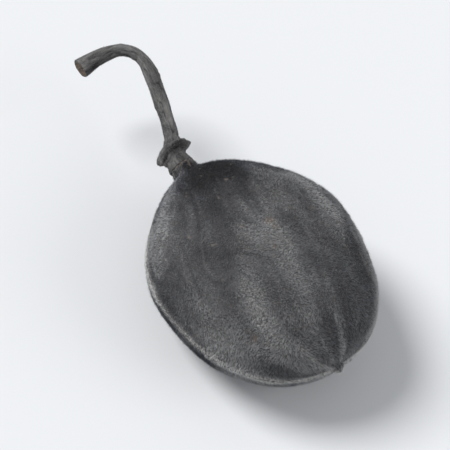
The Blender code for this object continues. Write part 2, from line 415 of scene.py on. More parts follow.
def worn(points):
    """How far the nap is rubbed off at each point, from 0 to 1."""
    ragged = noise_layers(points, WORN_RAGGEDNESS, 1.0)
    total = np.zeros(len(points))
    for place, size in worn_places:
        away = np.linalg.norm(points - place, axis=1) * ragged / size
        total = np.maximum(total, SPOT_WEAR * (1.0 - smooth_step(away, *WORN_EDGE)))
    for start, end in worn_lines:
        along = end - start
        share = np.clip((points - start) @ along / (along @ along), 0.0, 1.0)
        nearest = start + share[:, None] * along
        away = np.linalg.norm(points - nearest, axis=1) * ragged / SCRATCH_HALF_WIDTH
        total = np.maximum(total, SCRATCH_WEAR * (1.0 - smooth_step(away, *SCRATCH_EDGE)))
    off_seam = np.abs(points[:, 2] - pod_centre.z) * ragged / SEAM_WORN_HALF_WIDTH
    patches = smooth_step(soft_noise(points, *SEAM_WORN_PATCHES), *SEAM_WORN_RANGE)
    total = np.maximum(total, SEAM_WEAR * patches * (1.0 - smooth_step(off_seam, *WORN_EDGE)))
    neck_top = pod_centre.y + neck_base + NECK_HEIGHT
    near_top = (neck_top - points[:, 1]) * ragged / NECK_WORN_REACH
    return np.maximum(total, NECK_WEAR * (1.0 - smooth_step(near_top, *WORN_EDGE)))


def skin_relief(points):
    """Height of the fine relief above the pod's plain form at each point."""
    from_centre = points - np.array(pod_centre)
    off_axis = np.hypot(from_centre[:, 0], from_centre[:, 2])
    turn = np.arctan2(from_centre[:, 2], from_centre[:, 0])
    at_neck = (from_centre[:, 1] > 0.0) * np.exp(-((off_axis / PLEAT_REACH) ** 2))
    wander = noise_layers(points, PLEAT_WANDER)
    height = -PLEAT_DEPTH * at_neck * np.abs(np.sin(0.5 * PLEAT_COUNT * turn + wander)) ** 3
    ridged = 1.0 - np.abs(soft_noise(points, WRINKLE_SIZE, WRINKLE_SEED))
    height += WRINKLE_DEPTH * (smooth_step(ridged, WRINKLE_EDGE, 1.0) - WRINKLE_LEVEL)
    height += noise_layers(points, FINE_WRINKLES)
    off_seam = from_centre[:, 2] / SEAM_GROOVE_HALF_WIDTH
    height -= SEAM_GROOVE_DEPTH * np.exp(-(off_seam**2)) * (off_axis > SEAM_GROOVE_STOP)
    draw = random.Random(PIT_SEED)
    for place, size in pit_places:
        depth = draw.uniform(*PIT_DEPTHS)
        away = np.linalg.norm(points - place, axis=1) / size
        height -= depth * np.exp(-(away**2))
        height += PIT_RIM_SHARE * depth * np.exp(-(((away - PIT_RIM_PLACE) / PIT_RIM_WIDTH) ** 2))
    return height * smooth_step(points[:, 2], *RELIEF_STARTS)


waves = lump_waves()
bm = bmesh.new()
bmesh.ops.create_uvsphere(bm, u_segments=SKIN_SEGMENTS, v_segments=SKIN_RINGS, radius=1.0)
poles = [vert for vert in bm.verts if len(vert.link_edges) > 4]
bmesh.ops.delete(bm, geom=poles, context="VERTS")
for vert in bm.verts:
    share = (math.acos(vert.co.z) / math.pi * SKIN_RINGS - 1.0) / (SKIN_RINGS - 2.0)
    angle = NECK_ANGLE + (math.pi - NECK_ANGLE - BEAK_ANGLE) * max(0.0, share) ** RING_CROWDING
    turn = math.atan2(vert.co.y, vert.co.x)
    turn -= 0.5 * SEAM_CROWDING * math.sin(2.0 * turn)
    off_axis = math.sin(angle)
    way = Vector((off_axis * math.cos(turn), math.cos(angle), -off_axis * math.sin(turn)))
    vert.co = pod_point(way, waves)
neck_base = turn_end(bm, 1, neck_profile())
turn_end(bm, -1, beak_profile())

# The pod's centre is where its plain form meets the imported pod's widest and lowest points.
pod_low, pod_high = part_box("pod")
form_low = min(vert.co.x for vert in bm.verts)
form_bottom = min(vert.co.z for vert in bm.verts)
pod_centre = Vector((
    pod_low.x - form_low,
    pod_high.y - neck_base - NECK_HEIGHT,
    -form_bottom - REST_FLAT_DEPTH,
))
bmesh.ops.translate(bm, vec=pod_centre, verts=bm.verts)
bmesh.ops.bisect_plane(
    bm,
    geom=bm.verts[:] + bm.edges[:] + bm.faces[:],
    dist=0.002 * MM,
    plane_co=(0.0, 0.0, 0.0),
    plane_no=(0.0, 0.0, -1.0),
    use_snap_center=True,
    clear_outer=True,
)
rim = [edge for edge in bm.edges if edge.is_boundary]
bmesh.ops.holes_fill(bm, edges=rim, sides=0)

worn_places = spread_places(WORN_SPOTS, WORN_SIZES, WORN_SEED, waves)
worn_lines = scratch_lines(waves)
pit_places = spread_places(PIT_COUNT, PIT_SIZES, PIT_SEED, waves)
bm.normal_update()
skin_points = np.array([vert.co[:] for vert in bm.verts])
rises = skin_relief(skin_points)
rubbed = worn(skin_points)
worn_layer = bm.verts.layers.float.new("worn")
for vert, rise, rub in zip(bm.verts, rises, rubbed):
    vert.co += vert.normal * float(rise)
    vert[worn_layer] = float(rub)
bm.normal_update()
bmesh.ops.recalc_face_normals(bm, faces=bm.faces)
skin_mesh = finished_mesh("pod_skin", bm)
skin_mesh.shade_smooth()
pod_skin = placed("pod_skin", skin_mesh)
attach(pod_skin, "root")
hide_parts("pod")


# Dry plant skin, as a node group that the shell and the bark share: soft patches and fine grain.
MOTTLE_PATCH_DETAIL = 3.0
MOTTLE_GRAIN_DETAIL = 4.0
MOTTLE_GRAIN_ROUGHNESS = 0.65
MOTTLE_GRAIN_SHARE = 0.55
MOTTLE_RANGE = (0.36, 0.66)


def dry_mottle_group():
    """Shared mottling of dry plant skin: two tones in soft patches and grain, with a height."""
    group = bpy.data.node_groups.new("dry_mottle", "ShaderNodeTree")
    for name, kind in (("Where", "Vector"), ("Patch", "Float"), ("Grain", "Float")):
        group.interface.new_socket(name, in_out="INPUT", socket_type="NodeSocket" + kind)
    group.interface.new_socket("Dark", in_out="INPUT", socket_type="NodeSocketColor")
    group.interface.new_socket("Light", in_out="INPUT", socket_type="NodeSocketColor")
    group.interface.new_socket("Colour", in_out="OUTPUT", socket_type="NodeSocketColor")
    group.interface.new_socket("Height", in_out="OUTPUT", socket_type="NodeSocketFloat")
    nodes, links = group.nodes, group.links
    given = nodes.new("NodeGroupInput")
    result = nodes.new("NodeGroupOutput")
    patch = nodes.new("ShaderNodeTexNoise")
    patch.inputs["Detail"].default_value = MOTTLE_PATCH_DETAIL
    grain = nodes.new("ShaderNodeTexNoise")
    grain.inputs["Detail"].default_value = MOTTLE_GRAIN_DETAIL
    grain.inputs["Roughness"].default_value = MOTTLE_GRAIN_ROUGHNESS
    for noise, size in ((patch, "Patch"), (grain, "Grain")):
        links.new(given.outputs["Where"], noise.inputs["Vector"])
        links.new(given.outputs[size], noise.inputs["Scale"])
    both = nodes.new("ShaderNodeMath")
    both.operation = "MULTIPLY_ADD"
    both.inputs[1].default_value = MOTTLE_GRAIN_SHARE
    links.new(grain.outputs["Fac"], both.inputs[0])
    weaker = nodes.new("ShaderNodeMath")
    weaker.operation = "MULTIPLY"
    weaker.inputs[1].default_value = 1.0 - MOTTLE_GRAIN_SHARE
    links.new(patch.outputs["Fac"], weaker.inputs[0])
    links.new(weaker.outputs[0], both.inputs[2])
    spread = nodes.new("ShaderNodeMapRange")
    spread.inputs["From Min"].default_value = MOTTLE_RANGE[0]
    spread.inputs["From Max"].default_value = MOTTLE_RANGE[1]
    links.new(both.outputs[0], spread.inputs["Value"])
    tone = nodes.new("ShaderNodeMix")
    tone.data_type = "RGBA"
    links.new(spread.outputs["Result"], tone.inputs["Factor"])
    links.new(given.outputs["Dark"], tone.inputs["A"])
    links.new(given.outputs["Light"], tone.inputs["B"])
    links.new(tone.outputs["Result"], result.inputs["Colour"])
    links.new(grain.outputs["Fac"], result.inputs["Height"])
    return group


def mottled(tree, where, patch, grain, dark, light):
    """The shared mottling, placed in a material with its own scales and tones."""
    node = tree.nodes.new("ShaderNodeGroup")
    node.node_tree = dry_mottle
    for name, value in (("Patch", patch), ("Grain", grain), ("Dark", dark), ("Light", light)):
        node.inputs[name].default_value = value
    tree.links.new(where, node.inputs["Where"])
    return node


def grained(tree, mottle, strength):
    """The normal of a surface that the mottling's grain makes rough."""
    node = tree.nodes.new("ShaderNodeBump")
    node.inputs["Strength"].default_value = strength
    node.inputs["Distance"].default_value = GRAIN_HEIGHT
    tree.links.new(mottle.outputs["Height"], node.inputs["Height"])
    return node.outputs["Normal"]


def carried(tree, name, kind):
    """What the mesh carries under a name at each point."""
    node = tree.nodes.new("ShaderNodeAttribute")
    node.attribute_name = name
    return node.outputs[kind]


def shaded(tree, colour, share):
    """A colour made darker or lighter by a share."""
    node = tree.nodes.new("ShaderNodeVectorMath")
    node.operation = "SCALE"
    tree.links.new(colour, node.inputs[0])
    tree.links.new(share, node.inputs["Scale"])
    return node.outputs["Vector"]


def laid_bare(tree, outer, inner, where):
    """An outer colour with an inner one showing through it where a mask says so."""
    node = tree.nodes.new("ShaderNodeMix")
    node.data_type = "RGBA"
    node.inputs["B"].default_value = inner
    tree.links.new(where, node.inputs["Factor"])
    tree.links.new(outer, node.inputs["A"])
    return node.outputs["Result"]


SKIN_DARK = (0.019, 0.0188, 0.0205, 1.0)
SKIN_LIGHT = (0.052, 0.051, 0.052, 1.0)
SKIN_WORN = (0.120, 0.100, 0.084, 1.0)
SKIN_PATCH_SCALE = 700.0
SKIN_GRAIN_SCALE = 7000.0
SKIN_GLOSS = 0.4
SKIN_ROUGHNESS = 0.85
SKIN_WORN_ROUGHNESS = 0.48
# Span over which the nap's tones scale the shell's colour; they hold painted shade on the underside
# and a painted highlight on the seam's crest.
SKIN_TONE_AND_LIGHT_SPAN = (0.35, 2.8)
SKIN_BUMP_STRENGTH = 0.6
GRAIN_HEIGHT = 0.04 * MM
dry_mottle = dry_mottle_group()
skin_finish, tree, shader = new_finish("dry_shell", SKIN_ROUGHNESS, SKIN_GLOSS)
place = tree.nodes.new("ShaderNodeTexCoord").outputs["Object"]
mottle = mottled(tree, place, SKIN_PATCH_SCALE, SKIN_GRAIN_SCALE, SKIN_DARK, SKIN_LIGHT)
wear = carried(tree, "worn", "Fac")
# The shell's colour is scaled by the nap's tones, their painted shade and painted highlight included.
tone_and_light_share = ranged(tree, carried(tree, "nap_tone_and_painted_light", "Fac"), *SKIN_TONE_AND_LIGHT_SPAN)
toned_and_lit_skin = shaded(tree, mottle.outputs["Colour"], tone_and_light_share)
tree.links.new(laid_bare(tree, toned_and_lit_skin, SKIN_WORN, wear), shader.inputs["Base Color"])
polish = ranged(tree, wear, SKIN_ROUGHNESS, SKIN_WORN_ROUGHNESS)
tree.links.new(polish, shader.inputs["Roughness"])
tree.links.new(grained(tree, mottle, SKIN_BUMP_STRENGTH), shader.inputs["Normal"])
skin_mesh.materials.append(skin_finish)


# Velvet nap. Short stiff hairs cover the whole shell, leaning towards the beak and brushed this
# way and that by handling. Each is a closed three-sided spike rooted in the shell.
HAIR_START = 3
HAIR_DOUBLINGS = 14
HAIRS_A_PIECE = HAIR_START * 2**HAIR_DOUBLINGS
SPARE_ROOTS = 1.6
PIECE_BLEND = 0.25 * MM
NAP_LENGTH = 0.19 * MM
NAP_RADIUS = 0.018 * MM
NAP_LEAN = math.radians(46.0)
GUARD_LENGTH = 0.25 * MM
GUARD_RADIUS = 0.013 * MM
GUARD_LEAN = math.radians(28.0)
LENGTH_SPREAD = (0.65, 1.25)
RADIUS_SPREAD = (0.8, 1.2)
ROOT_DEPTH = 0.02 * MM
FLOOR_GAP = 0.004 * MM
PLACE_DIGITS = 8
NAP_SEED = 77

# Where the shell is worn the hairs are fewer, shorter and paler.
WORN_THINNING = 0.93
WORN_SHORTENING = 0.45
WORN_PALING = 0.15
NECK_TOP_BARE = 0.03 * MM
SEAM_CROPPING = 0.35

# How the hairs are combed: to the beak, in swirls, and drawn together into small locks.
TOWARDS_BEAK = (0.05, -1.0, 0.02)
COMB_SWIRLS = ((0.9, 3.4 * MM, 51), (0.45, 1.1 * MM, 52))
SWIRL_SCATTER = 0.28
LEAN_CHANGES = ((0.20, 1.9 * MM, 53),)
LEAN_SCATTER = 0.16
LOCK_SIZE = 0.18 * MM
LOCK_PULL = 0.135
LOCK_SEED = 54
LEAST_RISE = 0.25
SPIKE_TURN_GUIDE = (0.31, 0.22, 0.92)

# The map of a hair: a narrow strip of the tone ramp across, and root to tip upwards.
HAIR_UV_WIDTH = 0.02
HAIR_UV_FILL = 0.4
HAIR_UV_MARGIN = 0.01

# Tones of the nap, from 0, black, to 1, dusty, and where they change over the fruit.
PILE_TONE = 0.52
GUARD_TONE = 0.63
HAIR_TONE_SCATTER = 0.055
SOFT_PATCHES = ((0.10, 4.4 * MM, 61), (0.04, 1.2 * MM, 62))
STREAKS = ((0.18, 1.2 * MM, 64), (0.07, 0.40 * MM, 65))
STREAK_RADIUS = 7.0 * MM
STREAK_SHORTENING = 0.22
STREAK_BENDS = ((0.5 * MM, 3.0 * MM, 63),)
TONE_LIMIT = 0.26
SHOULDER_DARKENING = 0.60
SHOULDER_REACH = 3.3 * MM
SHOULDER_PATCH = (1.4 * MM, -1.3 * MM, 1.8 * MM)
SHOULDER_SQUEEZE = (0.62, 1.20, 0.90)
CHEEK_LIGHTENING = 0.15
CHEEK_REACH = 2.9 * MM
CHEEK_PATCH = (-5.6 * MM, -2.9 * MM, 3.7 * MM)
# The crest of the seam is lighter: partly a paler rubbed crest, partly a painted highlight where the
# crest catches light.
SEAM_PALING_AND_HIGHLIGHT = 0.74
SEAM_FADE_AT_NECK = 0.7
SEAM_FADE_REACH = 4.5 * MM
SEAM_CREST_HALF_WIDTH = 0.27 * MM
# The underside of the nap is darkened with painted shade.
UNDERSIDE_PAINTED_SHADE = 0.21
UNDERSIDE_STARTS = (0.4 * MM, 1.3 * MM)
NAP_RAMP = (
    (0.0, (0.014, 0.014, 0.018, 1.0)),
    (0.26, (0.084, 0.088, 0.104, 1.0)),
    (0.50, (0.262, 0.268, 0.279, 1.0)),
    (0.76, (0.475, 0.479, 0.483, 1.0)),
    (1.0, (0.82, 0.81, 0.79, 1.0)),
)
HAIR_ROUGHNESS = 0.45
HAIR_GLOSS = 0.30
HAIR_SHEEN = 0.12
HAIR_SHEEN_ROUGHNESS = 0.4


def strew(mesh, count, draw):
    """Even random places on a mesh, and the smooth normals there."""
    mesh.calc_loop_triangles()
    corners = np.empty(len(mesh.loop_triangles) * 3, np.int64)
    mesh.loop_triangles.foreach_get("vertices", corners)
    corners = corners.reshape(-1, 3)
    places = np.empty(len(mesh.vertices) * 3, np.float32)
    mesh.vertices.foreach_get("co", places)
    places = places.reshape(-1, 3).astype(float)
    normals = np.empty(len(mesh.vertices) * 3, np.float32)
    mesh.vertices.foreach_get("normal", normals)
    normals = normals.reshape(-1, 3).astype(float)
    # Operators number vertices differently from run to run, and the last digits of the flat
    # spot's heights differ too, so the triangles go in order of their rounded places.
    by_place = np.lexsort(places.round(PLACE_DIGITS).T)
    corners = np.sort(np.argsort(by_place)[corners], axis=1)
    corners = by_place[corners[np.lexsort(corners.T)]]
    a, b, c = (places[corners[:, k]] for k in range(3))
    areas = 0.5 * np.linalg.norm(np.cross(b - a, c - a), axis=1)
    chosen = draw.choice(len(areas), count, p=areas / areas.sum())
    shares = np.sort(draw.random((count, 2)), axis=1)
    weights = np.stack([shares[:, 0], shares[:, 1] - shares[:, 0], 1.0 - shares[:, 1]], axis=1)
    roots = sum(weights[:, k, None] * places[corners[chosen, k]] for k in range(3))
    ways = sum(weights[:, k, None] * normals[corners[chosen, k]] for k in range(3))
    return roots, ways / np.linalg.norm(ways, axis=1)[:, None]


def rooted_nap(count, seed):
    """Places for the nap's hairs, their normals and wear, thinned where the nap is worn."""
    draw = np.random.default_rng(seed)
    roots, ways = strew(skin_mesh, int(SPARE_ROOTS * count), draw)
    neck_top = pod_centre.y + neck_base + NECK_HEIGHT
    bare = worn(roots)
    stays = draw.random(len(roots)) > WORN_THINNING * bare
    stays &= roots[:, 1] < neck_top - NECK_TOP_BARE
    kept = np.flatnonzero(stays)[:count]
    return roots[kept], ways[kept], bare[kept]


def spike_mesh(name, start, doublings):
    """A mesh of many loose closed spikes, each three-sided, of radius 1 and height 1."""
    bm = bmesh.new()
    for _ in range(start):
        bmesh.ops.create_cone(
            bm,
            cap_ends=True,
            segments=3,
            radius1=1.0,
            radius2=0.0,
            depth=1.0,
            matrix=Matrix.Translation((0.0, 0.0, 0.5)),
        )
    for _ in range(doublings):
        bmesh.ops.duplicate(bm, geom=bm.verts[:] + bm.edges[:] + bm.faces[:])
    return finished_mesh(name, bm)


def spike_numbers(mesh):
    """Which spike each vertex belongs to. A spike's four faces meet, so its least vertex names it."""
    corners = np.empty(len(mesh.loops), np.int64)
    mesh.loops.foreach_get("vertex_index", corners)
    corners = corners.reshape(-1, 3)
    first = np.arange(len(mesh.vertices))
    np.minimum.at(first, corners.reshape(-1), np.repeat(corners.min(1), 3))
    return np.unique(first, return_inverse=True)[1]


def plant_hairs(mesh, roots, ways, lengths, radii, tones):
    """Move each spike of the mesh to its root and way, and lay its tone and height in the UV map."""
    hair = spike_numbers(mesh)
    shape = np.empty(len(mesh.vertices) * 3, np.float32)
    mesh.vertices.foreach_get("co", shape)
    shape = shape.reshape(-1, 3).astype(float)
    aside = np.cross(ways, SPIKE_TURN_GUIDE)
    aside /= np.linalg.norm(aside, axis=1)[:, None]
    across = np.cross(ways, aside)
    grown = roots[hair] + shape[:, 2, None] * (ways * lengths[:, None])[hair]
    grown += shape[:, 0, None] * (aside * radii[:, None])[hair]
    grown += shape[:, 1, None] * (across * radii[:, None])[hair]
    grown[:, 2] = np.maximum(grown[:, 2], FLOOR_GAP)
    mesh.vertices.foreach_set("co", grown.reshape(-1).astype(np.float32))
    across_map = tones[hair] * (1.0 - HAIR_UV_WIDTH)
    across_map += HAIR_UV_WIDTH * (0.5 + HAIR_UV_FILL * shape[:, 0])
    up_map = HAIR_UV_MARGIN + (1.0 - 2.0 * HAIR_UV_MARGIN) * shape[:, 2]
    vertex_of_loop = np.empty(len(mesh.loops), np.int64)
    mesh.loops.foreach_get("vertex_index", vertex_of_loop)
    pairs = np.stack([across_map, up_map], axis=1)[vertex_of_loop]
    layer = mesh.uv_layers.new(name="OFBake")
    layer.uv.foreach_set("vector", pairs.reshape(-1).astype(np.float32))
    mesh.update()
    mesh.shade_smooth()


def comb(roots, normals, lean, draw):
    """The way each hair points: laid over towards the beak, swirled, and drawn into locks."""
    towards_beak = TOWARDS_BEAK - normals * (normals @ TOWARDS_BEAK)[:, None]
    towards_beak /= np.linalg.norm(towards_beak, axis=1)[:, None] + 1e-6
    aside = np.cross(normals, towards_beak)
    swirl = noise_layers(roots, COMB_SWIRLS) + draw.normal(0.0, SWIRL_SCATTER, len(roots))
    flat = towards_beak * np.cos(swirl)[:, None] + aside * np.sin(swirl)[:, None]
    tilt = noise_layers(roots, LEAN_CHANGES, lean) + draw.normal(0.0, LEAN_SCATTER, len(roots))
    ways = normals * np.cos(tilt)[:, None] + flat * np.sin(tilt)[:, None]
    for axis in range(3):
        ways[:, axis] += LOCK_PULL * soft_noise(roots, LOCK_SIZE, LOCK_SEED + axis)
    inward = np.minimum(0.0, (ways * normals).sum(1) - LEAST_RISE)
    ways -= normals * inward[:, None]
    return ways / np.linalg.norm(ways, axis=1)[:, None]


def on_seam_crest(places):
    """1 on the crest of the seam, falling to 0 beside it."""
    return np.exp(-(((places[:, 2] - pod_centre.z) / SEAM_CREST_HALF_WIDTH) ** 2))


def nap_swell(roots, middle):
    """Tone of the nap at each place, from 0, black, to 1, dusty.

    It changes in soft patches and in streaks that run from stalk to beak. The shoulder beside the
    neck is darker and one cheek lighter. The underside is darker with painted shade, and the crest
    of the seam lighter, partly as a paler rubbed crest and partly as a painted highlight.
    """
    from_centre = roots - np.array(pod_centre)
    turn = np.arctan2(from_centre[:, 2], from_centre[:, 0])
    round_pod = STREAK_RADIUS * np.stack([np.cos(turn), np.sin(turn)], axis=1)
    bent = np.column_stack([round_pod, STREAK_SHORTENING * from_centre[:, 1]])
    bent += noise_layers(roots, STREAK_BENDS)[:, None]
    swells = noise_layers(roots, SOFT_PATCHES) + noise_layers(bent, STREAKS)
    tones = middle + TONE_LIMIT * np.tanh(swells / TONE_LIMIT)
    neck_foot = np.array(pod_centre + Vector((0.0, neck_base, 0.0)))
    from_neck = np.linalg.norm(roots - neck_foot, axis=1)
    from_patch = np.linalg.norm((roots - neck_foot - SHOULDER_PATCH) * SHOULDER_SQUEEZE, axis=1)
    tones -= SHOULDER_DARKENING * np.exp(-((from_patch / SHOULDER_REACH) ** 2))
    from_cheek = np.linalg.norm(from_centre - CHEEK_PATCH, axis=1)
    tones += CHEEK_LIGHTENING * np.exp(-((from_cheek / CHEEK_REACH) ** 2))
    # Painted shade: the nap's underside is made darker.
    tones -= UNDERSIDE_PAINTED_SHADE * smooth_step(-from_centre[:, 2], *UNDERSIDE_STARTS)
    # The crest of the seam is made lighter, partly a paler rubbed crest and partly a painted
    # highlight, less so near the neck.
    seam_fade = 1.0 - SEAM_FADE_AT_NECK * np.exp(-((from_neck / SEAM_FADE_REACH) ** 2))
    return tones + SEAM_PALING_AND_HIGHLIGHT * on_seam_crest(roots) * seam_fade


def nap_tones(roots, bare, draw, middle):
    """Tone of each hair, a little off the tone of its place."""
    scatter = draw.normal(0.0, HAIR_TONE_SCATTER, len(roots))
    return np.clip(nap_swell(roots, middle) + scatter + WORN_PALING * bare, 0.0, 1.0)


def nap_finish(name, root_shade, tip_shade):
    """Hair of one piece of nap: darker at the root, and toned from hair to hair along the map."""
    finish, tree, shader = new_finish(name, HAIR_ROUGHNESS, HAIR_GLOSS)
    shader.inputs["Sheen Weight"].default_value = HAIR_SHEEN
    shader.inputs["Sheen Roughness"].default_value = HAIR_SHEEN_ROUGHNESS
    strand = tree.nodes.new("ShaderNodeUVMap")
    strand.uv_map = "OFBake"
    split = tree.nodes.new("ShaderNodeSeparateXYZ")
    tree.links.new(strand.outputs["UV"], split.inputs["Vector"])
    tone = tree.nodes.new("ShaderNodeValToRGB")
    stops = tone.color_ramp.elements
    stops[0].position, stops[0].color = NAP_RAMP[0]
    stops[1].position, stops[1].color = NAP_RAMP[-1]
    for position, colour in NAP_RAMP[1:-1]:
        stops.new(position).color = colour
    tree.links.new(split.outputs["X"], tone.inputs["Fac"])
    rise = ranged(tree, split.outputs["Y"], root_shade, tip_shade)
    tree.links.new(shaded(tree, tone.outputs["Color"], rise), shader.inputs["Base Color"])
    return finish


def nap_piece(name, roots, normals, bare, length, radius, lean, middle, finish, draw):
    """One piece of nap, planted in the shell and riding on its body."""
    lengths = length * draw.uniform(*LENGTH_SPREAD, len(roots)) * (1.0 - WORN_SHORTENING * bare)
    lengths *= 1.0 - SEAM_CROPPING * on_seam_crest(roots)
    radii = radius * draw.uniform(*RADIUS_SPREAD, len(roots))
    ways = comb(roots, normals, lean, draw)
    mesh = spike_mesh(name, HAIR_START, HAIR_DOUBLINGS)
    planted = roots - normals * ROOT_DEPTH
    plant_hairs(mesh, planted, ways, lengths, radii, nap_tones(roots, bare, draw, middle))
    mesh.materials.append(finish)
    piece = placed(name, mesh)
    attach(piece, "root")


# The shell under the nap carries the same tones, so that no dark gaps show between the hairs.
# With them go the nap's painted shade on the underside and painted highlight on the seam's crest.
skin_tone_and_painted_light = skin_mesh.attributes.new("nap_tone_and_painted_light", "FLOAT", "POINT")
skin_tones_and_painted_light = np.clip(nap_swell(skin_points, PILE_TONE), 0.0, 1.0)
skin_tone_and_painted_light.data.foreach_set("value", skin_tones_and_painted_light.astype(np.float32))

# Three pieces of pile from the bottom to the top, and one of longer hairs all over them.
draw = np.random.default_rng(NAP_SEED)
roots, normals, bare = rooted_nap(3 * HAIRS_A_PIECE, NAP_SEED)
by_height = np.argsort(roots[:, 2] + draw.normal(0.0, PIECE_BLEND, len(roots)))
pile_finish = nap_finish("nap_pile", root_shade=0.45, tip_shade=1.35)
thirds = zip(("nap_lower_cheek", "nap_margin", "nap_upper_cheek"), np.split(by_height, 3))
for name, chosen in thirds:
    nap_piece(
        name,
        roots[chosen],
        normals[chosen],
        bare[chosen],
        length=NAP_LENGTH,
        radius=NAP_RADIUS,
        lean=NAP_LEAN,
        middle=PILE_TONE,
        finish=pile_finish,
        draw=draw,
    )
roots, normals, bare = rooted_nap(HAIRS_A_PIECE, NAP_SEED + 1)
nap_piece(
    "nap_guard_hairs",
    roots,
    normals,
    bare,
    length=GUARD_LENGTH,
    radius=GUARD_RADIUS,
    lean=GUARD_LEAN,
    middle=GUARD_TONE,
    finish=nap_finish("nap_guard", root_shade=0.5, tip_shade=1.5),
    draw=draw,
)


# Stalk. A thin woody stem with wrinkled bark, grown onto the neck by a flared foot, with a
# slanted collar that carries the scars of five sepals, and broken off at its swollen end.
CLEARANCE = 0.25 * MM
STALK_ROUTE_MM = (
    (0.00, 0.00, 0.00),
    (0.08, 0.90, 0.02),
    (0.80, 2.30, 0.18),
    (1.30, 3.80, 0.48),
    (1.70, 5.40, 0.92),
    (2.02, 7.00, 1.36),
    (2.08, 8.25, 1.64),
    (1.72, 9.25, 1.78),
    (0.90, 9.88, 1.80),
    (-0.20, 10.10, 1.70),
    (-1.35, 10.12, 1.52),
    (-2.45, 10.05, 1.30),
)
ROUTE_STEPS = 60
STALK_SIDES = 56
STALK_STEP = 0.07 * MM
STALK_RADIUS = 0.56 * MM
STALK_WAVER = ((0.04, 0.90 * MM), (0.03, 0.37 * MM))
WAIST_SHARE = 0.17
WAIST_PLACE = 9.8 * MM
WAIST_REACH = 1.5 * MM
TIP_RADIUS = 0.76 * MM
TIP_LENGTH = 1.50 * MM
TIP_EDGE = 0.10 * MM
TIP_EDGE_SHARES = (0.5, 0.4)
TIP_ROUNDING = 0.96
COLLAR_PROFILE = (
    (0.70 * MM, -0.48 * MM),
    (1.00 * MM, -0.38 * MM),
    (1.03 * MM, -0.20 * MM),
    (0.97 * MM, 0.04 * MM),
    (0.91 * MM, 0.16 * MM),
    (0.88 * MM, 0.55 * MM),
    (0.98 * MM, 0.90 * MM),
    (1.22 * MM, 1.16 * MM),
    (1.30 * MM, 1.30 * MM),
    (1.27 * MM, 1.44 * MM),
    (1.06 * MM, 1.54 * MM),
    (0.82 * MM, 1.66 * MM),
    (0.70 * MM, 1.90 * MM),
    (0.63 * MM, 2.20 * MM),
)
COLLAR_FINE_STEP = 0.035 * MM
COLLAR_CENTRE = 1.32 * MM
COLLAR_REACH = 0.85 * MM
COLLAR_SLANT = 0.42
SEPAL_SCARS = 5
SCAR_LOBE = 0.09
SCAR_REACH = 0.30 * MM
SCAR_RAGGEDNESS = 0.035
SCAR_TEARS = (13.0, 8.0)
FOOT_WAVE = 0.05 * MM
FOOT_WAVES = ((1.0, 3.0, 0.6), (0.6, 7.0, 0.0))

# Bark: folds, fissures along it, cracks across it and small pale blisters. Each noise is the
# size of its swells and its seed, and each edge is where a fissure or crack starts.
BARK_STRETCH = 0.20
FOLD_NOISE = (0.42 * MM, 71)
FISSURE_NOISE = (0.24 * MM, 72)
FISSURE_EDGE = 0.72
CRACK_NOISE = (0.62 * MM, 73)
CRACK_EDGE = 0.90
RIDGE_HEIGHT = 0.042 * MM
FOLD_RISE, FISSURE_SINK, CRACK_SINK = 0.7, 0.9, 0.4
BARK_TONE = 0.58
FOLD_TONE, FISSURE_TONE, CRACK_TONE = 0.20, 0.55, 0.20
BEND_PALING = 0.45
LENTICELS = 26
LENTICEL_SIZES = (0.07 * MM, 0.13 * MM)
LENTICEL_ENDS = (2.4 * MM, 0.5 * MM)
LENTICEL_HEIGHT = 0.055 * MM
LENTICEL_STRETCH = 1.7
LENTICEL_TONE = 0.5
LENTICEL_SEED = 4


def smooth_route():
    """Close points on a smooth curve through the stalk's route, and their distances along it."""
    knots = [Vector(knot) * MM for knot in STALK_ROUTE_MM]
    knots.insert(0, 2.0 * knots[0] - knots[1])
    knots.append(2.0 * knots[-1] - knots[-2])
    points = []
    for a, b, c, d in zip(knots, knots[1:], knots[2:], knots[3:]):
        for step in range(ROUTE_STEPS):
            t = step / ROUTE_STEPS
            bend = (2.0 * a - 5.0 * b + 4.0 * c - d) * t**2
            twist = (3.0 * b - a - 3.0 * c + d) * t**3
            points.append(0.5 * (2.0 * b + (c - a) * t + bend + twist))
    points.append(knots[-2])
    distances = [0.0]
    for start, end in zip(points, points[1:]):
        distances.append(distances[-1] + (end - start).length)
    return points, distances


def place_along(points, distances, distance):
    """The place and the heading of the route at a distance from its foot."""
    index = bisect.bisect_left(distances, distance, 1, len(points) - 1) - 1
    heading = (points[index + 1] - points[index]).normalized()
    return points[index] + heading * (distance - distances[index]), heading


def collar_radius(distance):
    """The foot's and collar's radius at a distance, on a smooth line through their profile."""
    pairs = COLLAR_PROFILE
    index = max(k for k in range(len(pairs) - 1) if pairs[k][1] <= distance + 1e-9)
    (low_radius, low), (high_radius, high) = pairs[index], pairs[index + 1]
    share = (distance - low) / (high - low)
    return low_radius + (high_radius - low_radius) * share * share * (3.0 - 2.0 * share)


